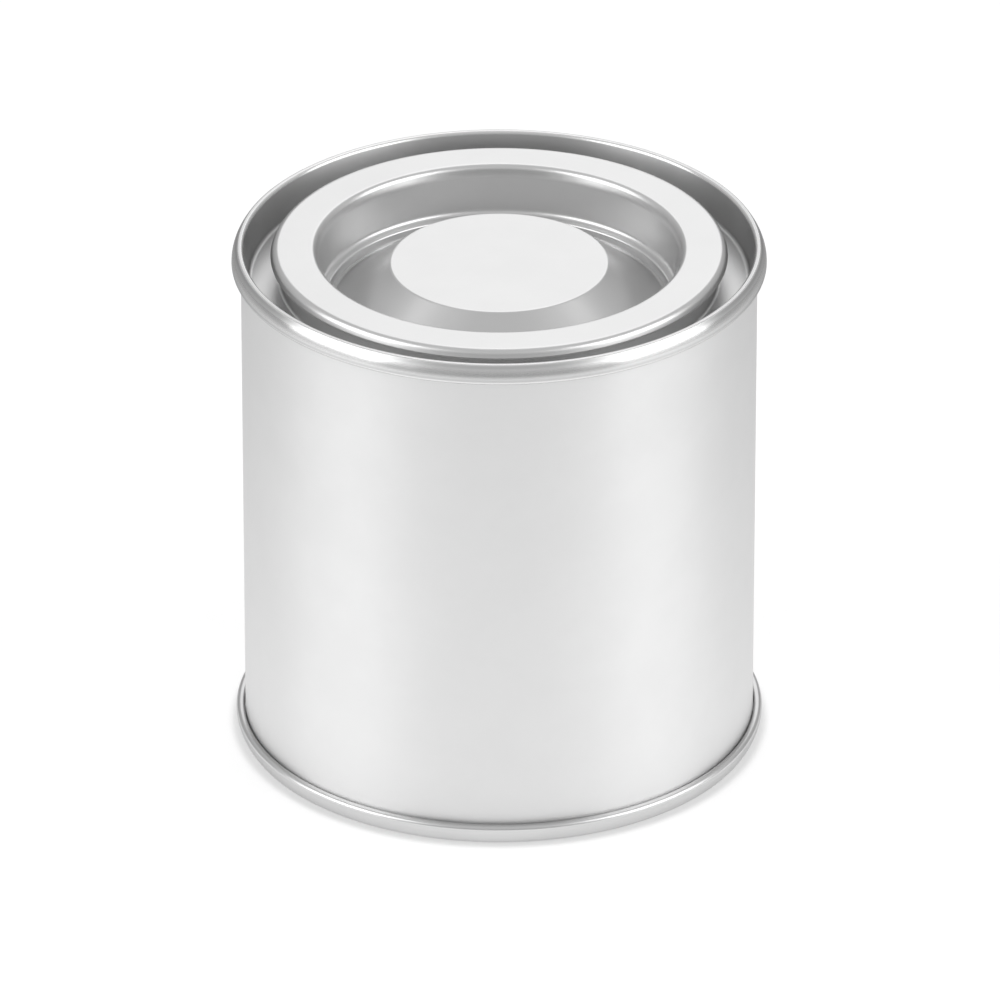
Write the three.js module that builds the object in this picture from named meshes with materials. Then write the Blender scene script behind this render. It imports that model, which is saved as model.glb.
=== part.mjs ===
// Lever lid tin, shut: a round can body with a seamed bottom, a seamed top ring and a friction lid.
// Millimetres, +Z up, origin at the centre of the base. Every piece is turned about the Z axis.
import * as THREE from "three";

// Body
const overallHeight = 76; // base to the crest of the top seam
const bodyRadius = 36.5;
const wallThickness = 0.3;
const sheetThickness = 0.4; // pressed ends and lid flange
const fitGap = 0.1; // between neighbouring pieces

// Double seams, top and bottom
const seamRadius = 37.8;
const seamHeight = 2.9;
const seamThickness = 1.65;
const seamLean = 0.84; // how far the outer flank leans in at the crest
const seamLeanDrop = 1.2; // below the crest, where the flank begins to lean
const seamFlankRound = 3.3;
const seamCrestRound = 0.6; // outer side of the crest; with the lip it leaves a narrow flat ring
const seamLipRound = 0.4; // inner side of the crest
const seamHemRound = 0.6; // free edge, on the outside
const seamTuckRound = 0.35; // free edge, where it meets the body
const seamGrip = 0.9; // body wall held inside each seam
const panelRecess = 3; // bottom panel above the base
const panelRadius = 35.45;
const panelRound = 0.6;

// Top ring: a moat inside the seam, then a raised collar under the lid
const moatDepth = 5.25; // below the seam crest
const moatOuterRadius = 35.45;
const moatOuterRound = 0.6;
const collarFootRadius = 30.9;
const collarTopRadius = 30.4;
const collarFootRound = 0.4;
const collarTopRound = 0.5;

// Lid: curled edge, flat rim, plug recess and a raised centre disc
const lidDrop = 0.3; // lid rim below the seam crest
const curlRadius = 32.42; // at the foot of the curl, before its hem is rounded
const curlLean = 0.57; // how far the curl's face leans in at the top
const curlHeight = 1.4;
const curlThickness = 1.72;
const curlShoulderRound = 1;
const curlHemRound = 0.25;
const plugRadius = 26.5;
const plugFootRound = 0.6;
const recessRadius = 25.55;
const recessFlare = 0.5; // how far the recess opens out at the top
const recessFlareDrop = 1.4; // below the flat rim, where it begins to open
const recessFlareRound = 3;
const recessEdgeRound = 1.35;
const ledgeRadius = 25.45;
const ledgeDepth = 7.3;
const ledgeSlope = 0.35; // fall of the ledge towards its inner edge
const ledgeRound = 0.8;
const stepRadius = 24.3;
const stepRound = 0.35;
const floorRadius = 24.15;
const floorDepth = 8.9;
const coneFootRadius = 23.6;
const coneFootRound = 0.6;
const discRadius = 15.4;
const discDepth = 2.45;
const discRound = 0.6;

// Smoothness
const segments = 64; // around the axis, alike on every piece so that the fit gaps stay even
const arcStep = THREE.MathUtils.degToRad(30);

// Levels worked out from the sizes above
const seamFoot = overallHeight - seamHeight;
const wallTop = seamFoot + seamGrip;
const wallFoot = seamHeight - seamGrip;
const moatFloor = overallHeight - moatDepth;
const ringUnderside = moatFloor - sheetThickness;
const lidTop = overallHeight - lidDrop;
const flangeUnderside = lidTop - sheetThickness;
const collarTop = flangeUnderside - fitGap;
const plugFoot = lidTop - floorDepth - sheetThickness;
const panelTop = panelRecess + sheetThickness;

// Radii worked out from the sizes above
const wallInnerRadius = bodyRadius - wallThickness;
const seamSlotOuter = bodyRadius + fitGap;
const seamSlotInner = wallInnerRadius - fitGap;
const seamInnerRadius = seamRadius - seamThickness;
const seamCrestRadius = seamRadius - seamLean;
const plugHoleRadius = plugRadius + fitGap;

// One corner of an outline: distance from the axis, height, and how far the corner is rounded.
function corner(radius, height, round = 0) {
  return { point: new THREE.Vector2(radius, height), round };
}

// The arc that rounds one corner, tangent to the edges that come from `before` and go to `after`.
function roundCorner({ point, round }, before, after) {
  const inward = before.clone().sub(point).normalize();
  const onward = after.clone().sub(point).normalize();
  const opening = Math.acos(THREE.MathUtils.clamp(inward.dot(onward), -1, 1));
  const turn = Math.PI - opening;
  const start = point.clone().addScaledVector(inward, round / Math.tan(opening / 2));
  const bisector = inward.clone().add(onward).normalize();
  const centre = point.clone().addScaledVector(bisector, round / Math.sin(opening / 2));
  const clockwise = inward.cross(onward) > 0;
  const steps = Math.max(2, Math.round(turn / arcStep));
  return Array.from({ length: steps + 1 }, (_, i) =>
    start.clone().rotateAround(centre, ((clockwise ? -1 : 1) * turn * i) / steps),
  );
}

// Turns a list of corners into an outline with its round corners drawn out.
function outlineOf(corners, closed) {
  const count = corners.length;
  const outline = corners.flatMap((here, i) => {
    if (here.round === 0) return [here.point];
    const before = corners[(i + count - 1) % count].point;
    const after = corners[(i + 1) % count].point;
    return roundCorner(here, before, after);
  });
  return closed ? [...outline, outline[0].clone()] : outline;
}

// One piece spun about the Z axis; a closed outline makes a ring, an open one ends on the axis.
function turnedPiece(name, corners, material, closed = false) {
  const geometry = new THREE.LatheGeometry(outlineOf(corners, closed), segments);
  geometry.rotateX(Math.PI / 2);
  const piece = new THREE.Mesh(geometry, material);
  piece.name = name;
  return piece;
}

function tinplate(colour, roughness) {
  return new THREE.MeshStandardMaterial({ color: colour, roughness, metalness: 1 });
}

// Shut can body, filled, with a thin wall that runs up and down into the seams.
function tinBody() {
  const corners = [
    corner(0, panelTop + fitGap),
    corner(wallInnerRadius, panelTop + fitGap),
    corner(wallInnerRadius, wallFoot),
    corner(bodyRadius, wallFoot),
    corner(bodyRadius, wallTop),
    corner(wallInnerRadius, wallTop),
    corner(wallInnerRadius, ringUnderside - fitGap),
    corner(plugHoleRadius, ringUnderside - fitGap),
    corner(plugHoleRadius, plugFoot - fitGap),
    corner(0, plugFoot - fitGap),
  ];
  return turnedPiece("tin_body", corners, tinplate(0xcfd0d1, 0.32));
}

// Bottom end: recessed panel and the double seam that the tin stands on.
function bottomEnd() {
  const corners = [
    corner(0, panelRecess),
    corner(panelRadius, panelRecess, panelRound),
    corner(seamInnerRadius, 0, seamLipRound),
    corner(seamCrestRadius, 0, seamCrestRound),
    corner(seamRadius, seamLeanDrop, seamFlankRound),
    corner(seamRadius, seamHeight, seamHemRound),
    corner(seamSlotOuter, seamHeight, seamTuckRound),
    corner(seamSlotOuter, wallFoot - fitGap),
    corner(seamSlotInner, wallFoot - fitGap),
    corner(seamSlotInner, panelTop),
    corner(0, panelTop),
  ];
  return turnedPiece("bottom_end", corners, tinplate(0xc9cacb, 0.28));
}

// Top ring: double seam, sloping wall, moat floor and the collar that grips the plug.
function topRing() {
  const corners = [
    corner(seamSlotOuter, wallTop + fitGap),
    corner(seamSlotOuter, seamFoot, seamTuckRound),
    corner(seamRadius, seamFoot, seamHemRound),
    corner(seamRadius, overallHeight - seamLeanDrop, seamFlankRound),
    corner(seamCrestRadius, overallHeight, seamCrestRound),
    corner(seamInnerRadius, overallHeight, seamLipRound),
    corner(moatOuterRadius, moatFloor, moatOuterRound),
    corner(collarFootRadius, moatFloor, collarFootRound),
    corner(collarTopRadius, collarTop, collarTopRound),
    corner(plugHoleRadius, collarTop),
    corner(plugHoleRadius, ringUnderside),
    corner(seamSlotInner, ringUnderside),
    corner(seamSlotInner, wallTop + fitGap),
  ];
  return turnedPiece("top_ring", corners, tinplate(0xc9cacb, 0.24), true);
}

// Lever lid: the curl overhangs the collar, so that a spoon handle can lift it from the moat.
function leverLid() {
  const curlInnerRadius = curlRadius - curlThickness;
  const curlFoot = lidTop - curlHeight;
  const corners = [
    corner(0, plugFoot),
    corner(plugRadius, plugFoot, plugFootRound),
    corner(plugRadius, flangeUnderside),
    corner(curlInnerRadius, flangeUnderside),
    corner(curlInnerRadius, curlFoot, curlHemRound),
    corner(curlRadius, curlFoot, curlHemRound),
    corner(curlRadius - curlLean, lidTop, curlShoulderRound),
    corner(recessRadius + recessFlare, lidTop, recessEdgeRound),
    corner(recessRadius, lidTop - recessFlareDrop, recessFlareRound),
    corner(ledgeRadius, lidTop - ledgeDepth, ledgeRound),
    corner(stepRadius, lidTop - ledgeDepth - ledgeSlope, stepRound),
    corner(floorRadius, lidTop - floorDepth),
    corner(coneFootRadius, lidTop - floorDepth, coneFootRound),
    corner(discRadius, lidTop - discDepth, discRound),
    corner(0, lidTop - discDepth),
  ];
  return turnedPiece("lever_lid", corners, tinplate(0xd4d5d6, 0.26));
}

const tin = new THREE.Group();
tin.add(tinBody(), bottomEnd(), topRing(), leverLid());

export default tin;
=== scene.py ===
"""Lever lid tin, shut: satin tinplate pieces, a white floor, soft studio light and the camera."""

import logging
import math
from dataclasses import dataclass
from enum import Enum

import bpy
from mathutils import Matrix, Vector

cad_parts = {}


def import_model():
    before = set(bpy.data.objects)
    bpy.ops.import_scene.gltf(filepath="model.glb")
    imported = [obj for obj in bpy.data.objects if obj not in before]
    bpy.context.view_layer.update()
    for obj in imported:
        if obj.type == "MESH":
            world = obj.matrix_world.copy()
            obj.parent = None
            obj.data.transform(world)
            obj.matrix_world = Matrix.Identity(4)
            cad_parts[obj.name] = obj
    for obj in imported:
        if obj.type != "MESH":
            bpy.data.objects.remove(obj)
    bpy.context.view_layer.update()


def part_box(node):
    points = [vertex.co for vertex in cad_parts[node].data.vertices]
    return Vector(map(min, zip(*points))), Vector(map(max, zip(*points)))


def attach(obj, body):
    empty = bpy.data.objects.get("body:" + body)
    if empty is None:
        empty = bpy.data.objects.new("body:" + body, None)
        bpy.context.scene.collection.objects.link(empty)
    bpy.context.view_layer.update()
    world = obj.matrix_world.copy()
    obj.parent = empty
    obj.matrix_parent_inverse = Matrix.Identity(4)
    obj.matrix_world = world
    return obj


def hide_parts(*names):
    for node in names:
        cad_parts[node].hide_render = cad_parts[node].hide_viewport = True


LOG = logging.getLogger("lever_lid_tin")
MM = 0.001  # sizes are in millimetres, Blender works in metres
BODY = "root"
WEAR_AND_HIGHLIGHT = "edge_wear_and_highlight"  # point attribute: 1 on the outer rounds, where handling polishes the tin and where a painted highlight brightens it
UPRIGHT_SHADE = "upright_wall_shade"  # point attribute: 1 on upright walls, 0 on flats; it places the painted shade that darkens the walls

COLUMNS = 288  # round the axis
ARC_STEP = math.radians(7.5)
FEWEST_STEPS = 3  # in one round corner
HOLD = 0.05  # a loop this close to a round corner keeps the flat beside it flat
SHORTEST = 3 * HOLD  # a shorter straight stretch takes no loops
LONGEST = 5.0  # between loops on a straight stretch
AXIS_REACH = 0.005  # a point nearer than this lies on the axis
SHARP = math.radians(35)  # a crease over this stays sharp

NOISE_ROUGHNESS = 0.55
LINE_RANGE = (0.25, 0.75)  # of the rolling lines' noise, from smooth to rough
MOTTLE_RANGE = (0.3, 0.7)  # of the patches' noise, from low to high
POLISH_RANGE = (0.2, 1.0)  # of the edge wear, over which the sheet gets smoother
WEAR_AND_HIGHLIGHT_RANGE = (0.0, 0.5)  # of the edge wear, over which it gets brighter, partly as wear and partly as a painted highlight
WALL_SHADE_RANGE = (0.4, 1.0)  # of how upright a wall is, over which painted shade makes it darker
BUMP_STRENGTH = 0.5
WHITE = (1.0, 1.0, 1.0, 1.0)


@dataclass(frozen=True)
class Corner:
    """A corner of a half section: distance from the axis, height and rounding."""

    radius: float
    height: float
    rounding: float = 0.0

    @property
    def place(self) -> Vector:
        """The corner as a point of the half section."""
        return Vector((self.radius, self.height))


@dataclass(frozen=True)
class SectionPoint:
    """A point of a half section, how upright the surface is there, which sets the painted shade on walls,
    and how much edge wear and painted highlight it takes.
    """

    place: Vector
    upright: float = 0.0
    wear: float = 0.0


@dataclass(frozen=True)
class HalfSection:
    """The outline that a piece is spun from, anticlockwise with the axis on its left.

    A closed section makes a ring; an open one starts and ends on the axis.
    """

    corners: tuple[Corner, ...]
    closed: bool = False

    def points(self) -> list[SectionPoint]:
        """Draw the outline, with its round corners as arcs and extra loops along its straights.

        Returns:
            The points in order, without a repeat of the first one.
        """
        bends = [self._bend(i) for i in range(len(self.corners))]
        drawn: list[SectionPoint] = []
        for here, after in zip(bends, bends[1:] + bends[:1]):
            drawn += here
            if self.closed or after is not bends[0]:
                drawn += self._straight(here[-1].place, after[0].place)
        return drawn

    def _bend(self, index: int) -> list[SectionPoint]:
        """Draw one corner.

        Args:
            index: which corner.
        Returns:
            The corner itself, or the points of its arc.
        """
        corner = self.corners[index]
        if corner.rounding == 0:
            return [SectionPoint(corner.place)]
        before = self.corners[index - 1].place
        after = self.corners[(index + 1) % len(self.corners)].place
        arriving = (corner.place - before).normalized()
        leaving = (after - corner.place).normalized()
        turn = arriving.angle_signed(leaving)  # Blender counts a left turn as negative
        start = corner.place - arriving * corner.rounding * math.tan(abs(turn) / 2)
        left = Vector((-arriving.y, arriving.x))
        outward = turn < 0
        centre = start + left * corner.rounding * (1 if outward else -1)
        steps = max(FEWEST_STEPS, round(abs(turn) / ARC_STEP))
        spoke = start - centre
        arc = []
        for i in range(steps + 1):
            angle = -turn * i / steps
            swung = Vector((
                spoke.x * math.cos(angle) - spoke.y * math.sin(angle),
                spoke.x * math.sin(angle) + spoke.y * math.cos(angle),
            ))
            # how upright the surface is, which sets the painted shade on walls
            upright = abs(swung.x) / corner.rounding
            # edge wear, which also places the painted highlight: strongest mid-arc on the outer rounds
            wear = math.sin(math.pi * i / steps) if outward else 0.0
            arc.append(SectionPoint(centre + swung, upright, wear))
        return arc

    def _straight(self, start: Vector, end: Vector) -> list[SectionPoint]:
        """Place loops along a straight stretch.

        Args:
            start: where it begins.
            end: where it ends.
        Returns:
            The points between the ends.
        """
        length = (end - start).length
        if length < SHORTEST:
            return []
        count = max(1, math.ceil((length - 2 * HOLD) / LONGEST))
        marks = [HOLD + (length - 2 * HOLD) * i / count for i in range(count + 1)]
        upright = abs(end.y - start.y) / length
        return [SectionPoint(start.lerp(end, mark / length), upright) for mark in marks]


class GrainRun(Enum):
    """Which way the rolling lines of the sheet run, as the noise's fineness along X, Y and Z."""

    LEVEL = (0.03, 0.03, 1.0)  # round the axis
    ACROSS = (0.02, 1.0, 1.0)  # from side to side


class NodeSheet:
    """A node tree with short ways to add and join nodes."""

    def __init__(self, tree: bpy.types.NodeTree) -> None:
        """Empty the tree that this sheet fills."""
        self.tree = tree
        tree.nodes.clear()

    def add(self, kind: str, settings: dict | None = None, **values: object) -> bpy.types.Node:
        """Add a node.

        Args:
            kind: the node's type name.
            settings: properties of the node itself.
            **values: input values, or sockets to link, by input name with _ for a space.
        Returns:
            The new node.
        """
        node = self.tree.nodes.new(kind)
        for name, value in (settings or {}).items():
            setattr(node, name, value)
        for name, value in values.items():
            socket = node.inputs[name.replace("_", " ")]
            if isinstance(value, bpy.types.NodeSocket):
                self.tree.links.new(value, socket)
            else:
                socket.default_value = value
        return node

    def span(self, source: bpy.types.NodeSocket, low: float, high: float,
             into: tuple[float, float]) -> bpy.types.NodeSocket:
        """Map a range of values smoothly onto another.

        Args:
            source: the value to map.
            low: the value that becomes the first of into.
            high: the value that becomes the second of into.
            into: the two ends of the result.
        Returns:
            The mapped value.
        """
        node = self.add("ShaderNodeMapRange", {"interpolation_type": "SMOOTHSTEP"}, Value=source,
                        From_Min=low, From_Max=high, To_Min=into[0], To_Max=into[1])
        return node.outputs["Result"]

    def joined(self, how: str, first: bpy.types.NodeSocket,
               second: bpy.types.NodeSocket) -> bpy.types.NodeSocket:
        """Join two values by one operation.

        Args:
            how: the operation's name.
            first: one value.
            second: the other.
        Returns:
            The result.
        """
        node = self.add("ShaderNodeMath", {"operation": how})
        self.tree.links.new(first, node.inputs[0])
        self.tree.links.new(second, node.inputs[1])
        return node.outputs[0]

    def by_ray(self, mirrored: bpy.types.NodeSocket, seen: bpy.types.NodeSocket, output: str) -> None:
        """Show one shader to the camera and another to everything else, and finish the tree.

        Args:
            mirrored: the shader for light and reflections.
            seen: the shader for the camera.
            output: type name of the output node.
        """
        ray = self.add("ShaderNodeLightPath").outputs["Is Camera Ray"]
        choice = self.add("ShaderNodeMixShader", Fac=ray)
        self.tree.links.new(mirrored, choice.inputs[1])
        self.tree.links.new(seen, choice.inputs[2])
        self.tree.links.new(choice.outputs[0], self.add(output).inputs["Surface"])

    def noise(self, place: bpy.types.NodeSocket, scale: float, detail: float) -> bpy.types.NodeSocket:
        """Make a noise pattern.

        Args:
            place: the coordinates to read.
            scale: repeats per metre.
            detail: octaves.
        Returns:
            The pattern's value.
        """
        node = self.add("ShaderNodeTexNoise", Vector=place, Scale=scale, Detail=detail,
                        Roughness=NOISE_ROUGHNESS)
        return node.outputs["Fac"]


@dataclass(frozen=True)
class Tinplate:
    """A satin tin coating: rolling lines, a little mottle, polished edges brightened partly by wear and
    partly with a painted highlight, and upright walls darkened with painted shade.
    """

    name: str
    tone: float  # reflectance, nearly neutral
    roughness: float
    grain: GrainRun
    grain_lines: float = 2600.0  # per metre, across the lines
    grain_octaves: float = 3.0
    grain_spread: float = 0.004  # how far the lines change the roughness
    grain_depth: float = 0.0003  # bump of the lines, in millimetres
    mottle_scale: float = 90.0  # patches per metre
    mottle_octaves: float = 4.0
    mottle_spread: float = 0.008  # how far the patches change the roughness
    mottle_tone: float = 0.012  # how far they change the tone
    polish: float = 0.05  # how much smoother the worn edges are
    wear_and_highlight_gain: float = 0.03  # how much brighter they are, partly from wear and partly as a painted highlight
    painted_wall_shade: float = 0.0  # painted shade: how much darker the upright walls are
    rim_shade: float = 0.8  # reflectance at a grazing view, against a plain metal's
    stretch: float = 0.0  # how far the grain draws highlights out across itself
    stretch_turn: float = 0.25  # in turns; a quarter draws them out along the axis

    def material(self) -> bpy.types.Material:
        """Make the finish as a node material.

        Returns:
            The new material.
        """
        made = bpy.data.materials.new(self.name)
        made.use_nodes = True
        sheet = NodeSheet(made.node_tree)
        place = sheet.add("ShaderNodeTexCoord").outputs["Object"]
        stretched = sheet.add("ShaderNodeMapping", Vector=place, Scale=self.grain.value).outputs["Vector"]
        lines = sheet.noise(stretched, self.grain_lines, self.grain_octaves)
        mottle = sheet.noise(place, self.mottle_scale, self.mottle_octaves)
        # edge wear mask, which also places the painted highlight
        wear_and_highlight_mask = sheet.add("ShaderNodeAttribute", {"attribute_name": WEAR_AND_HIGHLIGHT}).outputs["Fac"]
        # how upright the wall is, which sets the painted shade
        drawn = sheet.add("ShaderNodeAttribute", {"attribute_name": UPRIGHT_SHADE}).outputs["Fac"]
        surface = sheet.add("ShaderNodeBsdfPrincipled", Metallic=1.0, Anisotropic=self.stretch,
                            Anisotropic_Rotation=self.stretch_turn,
                            Specular_Tint=(self.rim_shade,) * 3 + (1,))
        link = made.node_tree.links.new
        link(self._colour(sheet, mottle, wear_and_highlight_mask, drawn), surface.inputs["Base Color"])
        link(self._roughness(sheet, lines, mottle, wear_and_highlight_mask), surface.inputs["Roughness"])
        bump = sheet.add("ShaderNodeBump", Strength=BUMP_STRENGTH, Distance=self.grain_depth * MM,
                         Height=lines)
        link(bump.outputs["Normal"], surface.inputs["Normal"])
        output = sheet.add("ShaderNodeOutputMaterial")
        link(surface.outputs["BSDF"], output.inputs["Surface"])
        return made

    def _colour(self, sheet: NodeSheet, mottle: bpy.types.NodeSocket, wear_and_highlight_mask: bpy.types.NodeSocket,
                drawn: bpy.types.NodeSocket) -> bpy.types.NodeSocket:
        """Vary the tone a little over the sheet, brighten the worn edges, partly as wear and partly as a
        painted highlight, and darken the upright walls with painted shade.

        Args:
            sheet: the material's nodes.
            mottle: the patch pattern.
            wear_and_highlight_mask: the edge wear, which also places the painted highlight.
            drawn: how upright the wall is, which sets the painted shade.
        Returns:
            The colour.
        """
        darkest, lightest = self.tone - self.mottle_tone, self.tone + self.mottle_tone
        patches = sheet.span(mottle, *MOTTLE_RANGE, (darkest, lightest))
        # painted highlight together with edge wear: the outer rounds get a brighter tone
        wear_and_highlight_tone = sheet.span(wear_and_highlight_mask, *WEAR_AND_HIGHLIGHT_RANGE, (0.0, self.wear_and_highlight_gain))
        # painted shade: the upright walls get a darker tone
        wall_shade_tone = sheet.span(drawn, *WALL_SHADE_RANGE, (0.0, -self.painted_wall_shade))
        tone = sheet.joined("ADD", patches, sheet.joined("ADD", wear_and_highlight_tone, wall_shade_tone))
        colour = sheet.add("ShaderNodeCombineColor", Red=tone, Green=tone, Blue=tone)
        return colour.outputs["Color"]

    def _roughness(self, sheet: NodeSheet, lines: bpy.types.NodeSocket, mottle: bpy.types.NodeSocket,
                   wear_and_highlight_mask: bpy.types.NodeSocket) -> bpy.types.NodeSocket:
        """Vary the gloss with the rolling lines, the mottle and the wear.

        Args:
            sheet: the material's nodes.
            lines: the rolling lines.
            mottle: the patch pattern.
            wear_and_highlight_mask: the edge wear, the mask that also places the painted highlight in the
                colour.
        Returns:
            The roughness.
        """
        smoothest, roughest = self.roughness - self.grain_spread, self.roughness + self.grain_spread
        grain = sheet.span(lines, *LINE_RANGE, (smoothest, roughest))
        patches = sheet.span(mottle, *MOTTLE_RANGE, (-self.mottle_spread, self.mottle_spread))
        smoothed = sheet.span(wear_and_highlight_mask, *POLISH_RANGE, (0.0, -self.polish))
        return sheet.joined("ADD", sheet.joined("ADD", grain, patches), smoothed)


BODY_SATIN = Tinplate("body_satin", tone=0.78, roughness=0.40, grain=GrainRun.LEVEL, rim_shade=0.92,
                      stretch=0.75)
# The end's tone is lower than the body's partly as painted shade, darkening the bottom seam beside the
# floor.
END_SATIN = Tinplate("end_satin", tone=0.66, roughness=0.30, grain=GrainRun.LEVEL, polish=0.01,
                     rim_shade=0.7)
# On the ring, the brighter outer rounds are partly a painted highlight and the darker upright walls are
# painted shade.
RING_SATIN = Tinplate("ring_satin", tone=0.78, roughness=0.34, grain=GrainRun.LEVEL, polish=0.1,
                      wear_and_highlight_gain=0.13, painted_wall_shade=0.13, rim_shade=0.5, stretch=0.8)
# The lid's upright walls get a little painted shade.
LID_SATIN = Tinplate("lid_satin", tone=0.73, roughness=0.30, grain=GrainRun.ACROSS,
                     grain_depth=0.0001, polish=0.01, painted_wall_shade=0.02)


@dataclass
class TinSizes:
    """The sizes that several pieces share, the outer ones read from the frame."""

    height: float
    body_radius: float
    seam_radius: float
    wall: float = 0.3  # thickness of the body's wall
    sheet: float = 0.4  # thickness of the pressed pieces
    gap: float = 0.1  # between neighbouring pieces
    seam_height: float = 2.9
    seam_thickness: float = 1.65
    seam_lean: float = 0.84  # how far the flank leans in at the crest
    seam_lean_drop: float = 1.2  # below the crest, where the flank begins to lean
    seam_flank: float = 3.3  # rounding where the flank begins to lean
    seam_crest: float = 0.6  # rounding on the outer side of the crest
    seam_lip: float = 0.4  # rounding on its inner side
    seam_hem: float = 0.6  # free edge, on the outside
    seam_tuck: float = 0.35  # free edge, where it meets the body
    seam_grip: float = 0.9  # body wall held inside each seam
    moat_depth: float = 5.25  # below the crest of the top seam
    lid_drop: float = 0.3  # lid's flat rim below that crest
    plug_radius: float = 26.5
    floor_depth: float = 8.9  # recess floor below the lid's flat rim
    panel_recess: float = 3.0  # bottom panel above the base

    @classmethod
    def from_frame(cls) -> "TinSizes":
        """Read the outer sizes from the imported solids.

        Returns:
            The shared sizes.
        """
        ring_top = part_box("top_ring")[1] / MM
        return cls(height=ring_top.z, body_radius=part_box("tin_body")[1].x / MM, seam_radius=ring_top.x)

    @property
    def wall_inside(self) -> float:
        """Inner radius of the body wall."""
        return self.body_radius - self.wall

    @property
    def slot_outer(self) -> float:
        """Outer radius of the slot that each seam keeps for the body wall."""
        return self.body_radius + self.gap

    @property
    def slot_inner(self) -> float:
        """Inner radius of that slot."""
        return self.wall_inside - self.gap

    @property
    def seam_inside(self) -> float:
        """Inner radius of a seam at its crest or foot."""
        return self.seam_radius - self.seam_thickness

    @property
    def seam_crest_radius(self) -> float:
        """Where the leaning flank of a seam meets its crest."""
        return self.seam_radius - self.seam_lean

    @property
    def seam_foot(self) -> float:
        """Lower edge of the top seam."""
        return self.height - self.seam_height

    @property
    def wall_top(self) -> float:
        """Upper end of the body wall, inside the top seam."""
        return self.seam_foot + self.seam_grip

    @property
    def wall_foot(self) -> float:
        """Lower end of the body wall, inside the bottom seam."""
        return self.seam_height - self.seam_grip

    @property
    def moat_floor(self) -> float:
        """Level of the moat between seam and lid."""
        return self.height - self.moat_depth

    @property
    def ring_underside(self) -> float:
        """Underside of the top ring."""
        return self.moat_floor - self.sheet

    @property
    def lid_top(self) -> float:
        """Level of the lid's flat rim."""
        return self.height - self.lid_drop

    @property
    def flange_underside(self) -> float:
        """Underside of the lid's flat rim."""
        return self.lid_top - self.sheet

    @property
    def plug_foot(self) -> float:
        """Underside of the lid's plug."""
        return self.lid_top - self.floor_depth - self.sheet

    @property
    def plug_hole(self) -> float:
        """Radius of the hole that grips the plug."""
        return self.plug_radius + self.gap

    @property
    def panel_top(self) -> float:
        """Upper face of the bottom panel."""
        return self.panel_recess + self.sheet


@dataclass
class TurnedPiece:
    """A piece of the tin that is spun about the Z axis."""

    sizes: TinSizes
    finish: Tinplate
    piece_name: str = ""
    node: str = ""
    slot: str = ""

    def section(self) -> HalfSection:
        """The piece's half section."""
        raise NotImplementedError

    def columns(self) -> list[float]:
        """Angles round the axis at which the section is placed."""
        return [math.tau * i / COLUMNS for i in range(COLUMNS)]

    def swell(self, angle: float, place: Vector) -> float:
        """How far the surface stands proud of the section at one angle."""
        return 0.0

    def build(self) -> bpy.types.Object:
        """Make the piece, dress it and put it on its body.

        Returns:
            The finished object.
        """
        piece = bpy.data.objects.new(self.piece_name, self._mesh())
        bpy.context.scene.collection.objects.link(piece)
        piece.data.materials.append(self.finish.material())
        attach(piece, BODY)
        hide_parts(self.node)
        return piece

    def _mesh(self) -> bpy.types.Mesh:
        """Spin the section into a closed mesh.

        Returns:
            The mesh, smooth apart from its sharp corners.
        """
        section = self.section()
        points = section.points()
        angles = self.columns()
        vertices: list[Vector] = []
        wear: list[float] = []
        drawn: list[float] = []
        rings: list[list[int]] = []
        for point in points:
            on_axis = point.place.x < AXIS_REACH
            ring = angles[:1] if on_axis else angles
            rings.append(list(range(len(vertices), len(vertices) + len(ring))))
            for angle in ring:
                radius = 0.0 if on_axis else point.place.x + self.swell(angle, point.place)
                spot = Vector((radius * math.cos(angle), radius * math.sin(angle), point.place.y))
                vertices.append(spot * MM)
                wear.append(point.wear)
                drawn.append(point.upright)
        mesh = bpy.data.meshes.new(self.piece_name)
        mesh.from_pydata(vertices, [], self._faces(rings, section.closed, len(angles)))
        # edge wear, which also places the painted highlight
        mesh.attributes.new(WEAR_AND_HIGHLIGHT, "FLOAT", "POINT").data.foreach_set("value", wear)
        # how upright each point's surface is, for the painted shade on walls
        mesh.attributes.new(UPRIGHT_SHADE, "FLOAT", "POINT").data.foreach_set("value", drawn)
        mesh.shade_smooth()
        mesh.set_sharp_from_angle(angle=SHARP)
        mesh.validate()
        return mesh

    def _faces(self, rings: list[list[int]], closed: bool, count: int) -> list[tuple[int, ...]]:
        """Join neighbouring rings of vertices with faces that point out.

        Args:
            rings: vertex numbers of each ring; a single one lies on the axis.
            closed: whether the last ring joins the first.
            count: columns round the axis.
        Returns:
            The faces.
        """
        pairs = list(zip(rings, rings[1:]))
        if closed:
            pairs.append((rings[-1], rings[0]))
        faces = []
        for lower, upper in pairs:
            for i in range(count):
                j = (i + 1) % count
                if len(lower) == 1:
                    faces.append((lower[0], upper[j], upper[i]))
                elif len(upper) == 1:
                    faces.append((lower[i], lower[j], upper[0]))
                else:
                    faces.append((lower[i], lower[j], upper[j], upper[i]))
        return faces


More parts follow.
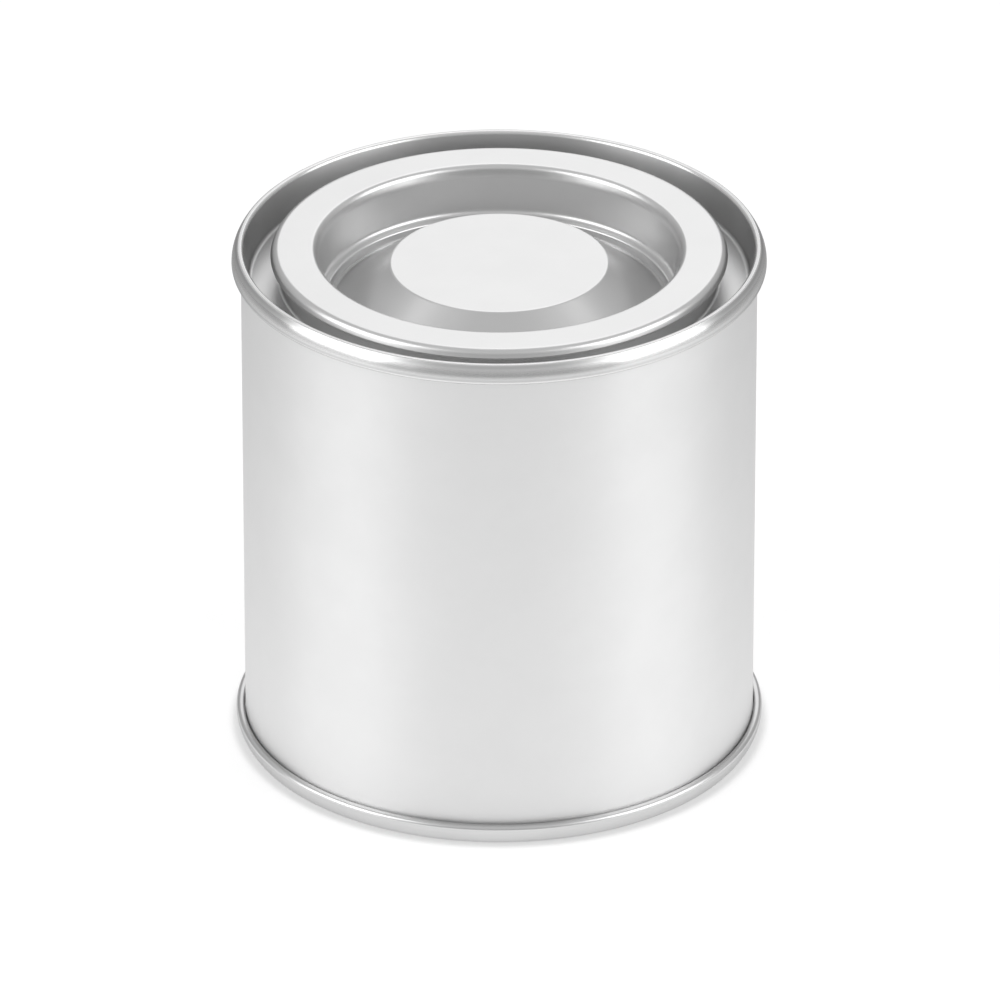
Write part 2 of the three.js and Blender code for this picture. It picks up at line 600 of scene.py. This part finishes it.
@dataclass
class CanBody(TurnedPiece):
    """The round wall of the can, filled, with its welded side seam at the back."""

    piece_name: str = "can_body"
    node: str = "tin_body"
    slot: str = "body_tinplate"
    weld_angle: float = math.pi / 2  # the side away from the camera
    weld_width: float = 0.9  # of the raised lap
    weld_rise: float = 0.12
    weld_edge: float = 0.18  # width of the slope at each side of the lap
    weld_steps: int = 4  # across that slope

    def section(self) -> HalfSection:
        """The filled body, with thin walls that run up and down into the seams.

        Returns:
            The body's half section.
        """
        s = self.sizes
        return HalfSection((
            Corner(0, s.panel_top + s.gap),
            Corner(s.wall_inside, s.panel_top + s.gap),
            Corner(s.wall_inside, s.wall_foot),
            Corner(s.body_radius, s.wall_foot),
            Corner(s.body_radius, s.wall_top),
            Corner(s.wall_inside, s.wall_top),
            Corner(s.wall_inside, s.ring_underside - s.gap),
            Corner(s.plug_hole, s.ring_underside - s.gap),
            Corner(s.plug_hole, s.plug_foot - s.gap),
            Corner(0, s.plug_foot - s.gap),
        ))

    def columns(self) -> list[float]:
        """Even angles, with extra ones at the edges of the weld.

        Returns:
            The angles in order.
        """
        even = super().columns()
        edges = []
        for side in (-1, 1):
            for i in range(self.weld_steps + 1):
                offset = self.weld_width / 2 + self.weld_edge * i / self.weld_steps
                edges.append(self.weld_angle + side * offset / self.sizes.body_radius)
        return sorted(even + edges)

    def swell(self, angle: float, place: Vector) -> float:
        """Raise the lap of the weld on the outside of the wall, clear of the seams.

        Args:
            angle: where round the axis.
            place: the point of the half section.
        Returns:
            How far the surface stands proud, in millimetres.
        """
        s = self.sizes
        outside = place.x > s.body_radius - s.wall / 2
        clear = s.seam_height < place.y < s.seam_foot
        if not (outside and clear):
            return 0.0
        away = abs(angle - self.weld_angle) * s.body_radius - self.weld_width / 2
        share = min(max(1 - away / self.weld_edge, 0.0), 1.0)
        return self.weld_rise * share * share * (3 - 2 * share)


@dataclass
class SeamedBottom(TurnedPiece):
    """The bottom end: a recessed panel and the double seam that the tin stands on."""

    piece_name: str = "seamed_bottom"
    node: str = "bottom_end"
    slot: str = "end_tinplate"
    panel_radius: float = 35.45
    panel_round: float = 0.6

    def section(self) -> HalfSection:
        """The panel, the foot ring and the lip that grips the body.

        Returns:
            The bottom end's half section.
        """
        s = self.sizes
        return HalfSection((
            Corner(0, s.panel_recess),
            Corner(self.panel_radius, s.panel_recess, self.panel_round),
            Corner(s.seam_inside, 0, s.seam_lip),
            Corner(s.seam_crest_radius, 0, s.seam_crest),
            Corner(s.seam_radius, s.seam_lean_drop, s.seam_flank),
            Corner(s.seam_radius, s.seam_height, s.seam_hem),
            Corner(s.slot_outer, s.seam_height, s.seam_tuck),
            Corner(s.slot_outer, s.wall_foot - s.gap),
            Corner(s.slot_inner, s.wall_foot - s.gap),
            Corner(s.slot_inner, s.panel_top),
            Corner(0, s.panel_top),
        ))


@dataclass
class SeamedRing(TurnedPiece):
    """The top ring: double seam, sloping wall, moat and the collar that holds the lid."""

    piece_name: str = "seamed_ring"
    node: str = "top_ring"
    slot: str = "ring_tinplate"
    crest_round: float = 0.4  # outer side of the crest, a little tighter than on the bottom seam
    lip_round: float = 0.55  # inner side of the crest
    moat_radius: float = 35.45
    moat_round: float = 0.6
    collar_foot: float = 30.9
    collar_foot_round: float = 0.4
    collar_top: float = 30.4
    collar_top_round: float = 0.5

    def section(self) -> HalfSection:
        """The seam, the moat and the collar under the lid.

        Returns:
            The top ring's half section.
        """
        s = self.sizes
        collar_level = s.flange_underside - s.gap
        return HalfSection((
            Corner(s.slot_outer, s.wall_top + s.gap),
            Corner(s.slot_outer, s.seam_foot, s.seam_tuck),
            Corner(s.seam_radius, s.seam_foot, s.seam_hem),
            Corner(s.seam_radius, s.height - s.seam_lean_drop, s.seam_flank),
            Corner(s.seam_crest_radius, s.height, self.crest_round),
            Corner(s.seam_inside, s.height, self.lip_round),
            Corner(self.moat_radius, s.moat_floor, self.moat_round),
            Corner(self.collar_foot, s.moat_floor, self.collar_foot_round),
            Corner(self.collar_top, collar_level, self.collar_top_round),
            Corner(s.plug_hole, collar_level),
            Corner(s.plug_hole, s.ring_underside),
            Corner(s.slot_inner, s.ring_underside),
            Corner(s.slot_inner, s.wall_top + s.gap),
        ), closed=True)


@dataclass
class LeverLid(TurnedPiece):
    """The lid: curled edge, flat rim, plug recess with a stepped floor, and a raised disc."""

    piece_name: str = "pressed_lid"
    node: str = "lever_lid"
    slot: str = "lid_tinplate"
    curl_radius: float = 32.42  # at the foot of the curl, before its hem is rounded
    curl_lean: float = 0.57  # how far the curl's face leans in at the top
    curl_height: float = 1.4
    curl_thickness: float = 1.72
    curl_shoulder: float = 1.0  # rounding at the top of the curl
    curl_hem: float = 0.25  # rounding at its foot
    plug_round: float = 0.6
    recess_radius: float = 25.55
    recess_flare: float = 0.4  # how far the recess opens out at the top
    recess_flare_drop: float = 1.4  # below the flat rim, where it begins to open
    recess_flare_round: float = 3.0
    recess_edge: float = 0.9  # rounding between the flat rim and the recess
    ledge_radius: float = 25.45
    ledge_depth: float = 7.3  # below the flat rim, as the disc's depth is
    ledge_slope: float = 0.35  # fall of the ledge towards its inner edge
    ledge_round: float = 0.8
    step_radius: float = 24.3
    step_round: float = 0.35
    floor_radius: float = 24.15
    cone_foot: float = 23.6
    cone_foot_round: float = 0.6
    disc_radius: float = 15.4
    disc_depth: float = 2.45
    disc_round: float = 0.6

    def section(self) -> HalfSection:
        """The plug from below, the curl, then the recess down to the floor and up to the disc.

        Returns:
            The lid's half section.
        """
        s = self.sizes
        curl_inside = self.curl_radius - self.curl_thickness
        curl_foot = s.lid_top - self.curl_height
        ledge = s.lid_top - self.ledge_depth
        floor = s.lid_top - s.floor_depth
        disc = s.lid_top - self.disc_depth
        return HalfSection((
            Corner(0, s.plug_foot),
            Corner(s.plug_radius, s.plug_foot, self.plug_round),
            Corner(s.plug_radius, s.flange_underside),
            Corner(curl_inside, s.flange_underside),
            Corner(curl_inside, curl_foot, self.curl_hem),
            Corner(self.curl_radius, curl_foot, self.curl_hem),
            Corner(self.curl_radius - self.curl_lean, s.lid_top, self.curl_shoulder),
            Corner(self.recess_radius + self.recess_flare, s.lid_top, self.recess_edge),
            Corner(self.recess_radius, s.lid_top - self.recess_flare_drop, self.recess_flare_round),
            Corner(self.ledge_radius, ledge, self.ledge_round),
            Corner(self.step_radius, ledge - self.ledge_slope, self.step_round),
            Corner(self.floor_radius, floor),
            Corner(self.cone_foot, floor, self.cone_foot_round),
            Corner(self.disc_radius, disc, self.disc_round),
            Corner(0, disc),
        ))


@dataclass(frozen=True)
class Softbox:
    """A rectangular studio light that faces the tin."""

    name: str
    azimuth: float  # degrees from the camera's side, positive to the right
    elevation: float  # degrees
    distance: float  # metres
    width: float  # metres
    height: float  # metres
    radiance: float

    def place(self, aim: Vector) -> bpy.types.Object:
        """Hang the light.

        Args:
            aim: the point that it faces, in metres.
        Returns:
            The lamp object.
        """
        lamp = bpy.data.lights.new(self.name, "AREA")
        lamp.shape = "RECTANGLE"
        lamp.size, lamp.size_y = self.width, self.height
        lamp.energy = self.radiance * math.pi * self.width * self.height
        around, up = math.radians(self.azimuth), math.radians(self.elevation)
        towards = Vector((
            math.sin(around) * math.cos(up),
            -math.cos(around) * math.cos(up),
            math.sin(up),
        ))
        hung = bpy.data.objects.new(self.name, lamp)
        hung.location = aim + towards * self.distance
        hung.rotation_mode = "QUATERNION"
        hung.rotation_quaternion = towards.to_track_quat("Z", "Y")
        hung.visible_camera = False
        bpy.context.scene.collection.objects.link(hung)
        return hung


@dataclass
class Studio:
    """A white floor in a pale room, with tall softboxes at both sides and one behind."""

    floor_half: float = 4.0  # metres from the axis to the floor's edges
    floor_roughness: float = 0.9
    floor_gloss: float = 0.1
    floor_seen: tuple[float, float] = (0.5, 0.6)  # tone and glow, as the camera sees it
    floor_mirrored: tuple[float, float] = (0.4, 0.77)  # tone and glow, as the tin mirrors it
    painted_pool: tuple[float, float] = (0.06, 0.50)  # painted pool of light: metres over which the mirrored glow fades from in front of the tin, leaving painted shade behind it
    painted_pool_far: float = 0.2  # share of the glow that the painted pool leaves beyond
    painted_pool_centre: float = 0.09  # of the painted pool, metres in front of the axis
    painted_contact_shadow: tuple[float, float] = (0.0376, 0.0392)  # metres from the axis; a painted shadow of the foot darkens the floor's glow there
    painted_shadow_level: float = 0.6  # share of the glow that the painted shadow leaves under the foot
    mirrored_contact_shadow: tuple[float, float] = (0.0376, 0.0460)  # the same painted shadow, for the floor that the tin mirrors
    mirrored_shadow_level: float = 0.75
    horizon_front: float = 0.14  # the room's level at the horizon behind the camera
    horizon_back: float = 0.34  # and everywhere else along the horizon
    horizon_turn: tuple[float, float] = (-1.0, -0.6)  # Y of a direction, from the one to the other
    horizon_band: tuple[float, float] = (0.0, 0.18)  # Z of a direction, from the horizon to above it
    low_level: float = 0.44  # above the horizon
    overhead_level: float = 0.60
    overhead_rise: tuple[float, float] = (0.1, 0.7)  # Z of a direction, from low to overhead
    backdrop_level: float = 1.15  # what the camera sees behind the floor
    aim: Vector = Vector((0, 0, 0.04))
    softboxes: tuple[Softbox, ...] = (
        Softbox("side_box_left", -72, 28, distance=0.70, width=0.58, height=0.57, radiance=1.65),
        Softbox("side_box_right", 72, 28, distance=0.70, width=0.58, height=0.57, radiance=1.65),
        Softbox("fill_box_left", -47, 27, distance=0.80, width=0.36, height=0.55, radiance=0.30),
        Softbox("fill_box_right", 47, 27, distance=0.80, width=0.36, height=0.55, radiance=0.30),
        Softbox("back_box", 176, 40, distance=1.0, width=0.46, height=1.06, radiance=0.74),
    )

    def build(self) -> None:
        """Make the floor, the room's light and the softboxes."""
        bpy.context.scene.view_settings.view_transform = "Standard"
        self._floor()
        self._room()
        for softbox in self.softboxes:
            softbox.place(self.aim)

    def _floor(self) -> bpy.types.Object:
        """Lay the floor.

        Returns:
            The floor object, marked as stage.
        """
        half = self.floor_half
        mesh = bpy.data.meshes.new("studio_floor")
        mesh.from_pydata([(-half, -half, 0), (half, -half, 0), (half, half, 0), (-half, half, 0)], [],
                         [(0, 1, 2, 3)])
        floor = bpy.data.objects.new("studio_floor", mesh)
        bpy.context.scene.collection.objects.link(floor)
        paint = bpy.data.materials.new("floor_paint")
        paint.use_nodes = True
        sheet = NodeSheet(paint.node_tree)
        place = sheet.add("ShaderNodeTexCoord").outputs["Object"]
        away = sheet.add("ShaderNodeVectorMath", {"operation": "LENGTH"}, Vector=place).outputs["Value"]
        # painted shadow of the foot, on the glow that the camera sees
        shade = sheet.span(away, *self.painted_contact_shadow, (self.painted_shadow_level, 1.0))
        # painted pool of light on the floor in front of the tin, darker behind it, seen only in reflections
        ahead = sheet.add("ShaderNodeMapping", Vector=place, Location=(0, self.painted_pool_centre, 0))
        spread = sheet.add("ShaderNodeVectorMath", {"operation": "LENGTH"}, Vector=ahead.outputs["Vector"])
        painted_pool_fade = sheet.span(spread.outputs["Value"], *self.painted_pool, (1.0, self.painted_pool_far))
        seen = self._paint(sheet, self.floor_seen, shade)
        # painted shadow of the foot, on the glow that the tin mirrors
        mirrored_foot_shadow = sheet.span(away, *self.mirrored_contact_shadow, (self.mirrored_shadow_level, 1.0))
        mirrored = self._paint(sheet, self.floor_mirrored, sheet.joined("MULTIPLY", painted_pool_fade, mirrored_foot_shadow))
        sheet.by_ray(mirrored, seen, "ShaderNodeOutputMaterial")
        mesh.materials.append(paint)
        return floor

    def _paint(self, sheet: NodeSheet, tone_and_glow: tuple[float, float],
               shade: bpy.types.NodeSocket) -> bpy.types.NodeSocket:
        """Mix one matt, glowing white.

        Args:
            sheet: the floor's nodes.
            tone_and_glow: reflectance and the glow's strength.
            shade: what the glow is multiplied by: the painted contact shadow, and for what the tin mirrors
                also the painted pool of light.
        Returns:
            The shader.
        """
        tone, glow = tone_and_glow
        surface = sheet.add("ShaderNodeBsdfPrincipled", Base_Color=(tone,) * 3 + (1,),
                            Roughness=self.floor_roughness, Specular_IOR_Level=self.floor_gloss,
                            Emission_Color=(glow,) * 3 + (1,), Emission_Strength=shade)
        return surface.outputs["BSDF"]

    def _room(self) -> bpy.types.World:
        """Light the room: dimmest at the horizon, and white where the camera sees it.

        Returns:
            The world.
        """
        world = bpy.data.worlds.new("studio_room")
        world.use_nodes = True
        sheet = NodeSheet(world.node_tree)
        direction = sheet.add("ShaderNodeTexCoord").outputs["Generated"]
        parts = sheet.add("ShaderNodeSeparateXYZ", Vector=direction).outputs
        sky = sheet.span(parts["Z"], *self.overhead_rise, (self.low_level, self.overhead_level))
        dip = sheet.span(parts["Y"], *self.horizon_turn,
                         (self.low_level - self.horizon_front, self.low_level - self.horizon_back))
        near_horizon = sheet.span(parts["Z"], *self.horizon_band, (1.0, 0.0))
        level = sheet.joined("SUBTRACT", sky, sheet.joined("MULTIPLY", dip, near_horizon))
        lit = sheet.add("ShaderNodeBackground", Color=WHITE, Strength=level)
        seen = sheet.add("ShaderNodeBackground", Color=WHITE, Strength=self.backdrop_level)
        sheet.by_ray(lit.outputs[0], seen.outputs[0], "ShaderNodeOutputWorld")
        bpy.context.scene.world = world
        return world


@dataclass
class Viewpoint:
    """The camera: a long lens that looks down on the tin."""

    elevation: float = 28.0  # degrees
    distance: float = 1.733  # metres
    aim_height: float = 35.2 * MM
    aim_right: float = 0.12 * MM  # of the axis
    frame_width: float = 142.7 * MM  # what the picture spans at the aim
    sensor: float = 36.0  # millimetres

    def build(self) -> bpy.types.Object:
        """Set up the camera.

        Returns:
            The scene's camera.
        """
        lens = bpy.data.cameras.new("view")
        lens.sensor_width = self.sensor
        lens.lens = self.sensor * self.distance / self.frame_width
        camera = bpy.data.objects.new("view", lens)
        up = math.radians(self.elevation)
        back = Vector((0, -math.cos(up), math.sin(up)))
        camera.location = Vector((self.aim_right, 0, self.aim_height)) + back * self.distance
        camera.rotation_mode = "QUATERNION"
        camera.rotation_quaternion = (-back).to_track_quat("-Z", "Y")
        bpy.context.scene.collection.objects.link(camera)
        bpy.context.scene.camera = camera
        return camera


def main() -> None:
    """Build the camera, the tin's pieces in order and the studio."""
    logging.basicConfig(level=logging.INFO, format="%(name)s %(message)s")
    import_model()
    sizes = TinSizes.from_frame()
    Viewpoint().build()
    pieces = (
        CanBody(sizes, BODY_SATIN),
        SeamedBottom(sizes, END_SATIN),
        SeamedRing(sizes, RING_SATIN),
        LeverLid(sizes, LID_SATIN),
    )
    for piece in pieces:
        made = piece.build()
        LOG.info("%s: %d faces, %s", made.name, len(made.data.polygons), piece.finish.name)
    Studio().build()


if __name__ == "__main__":
    main()
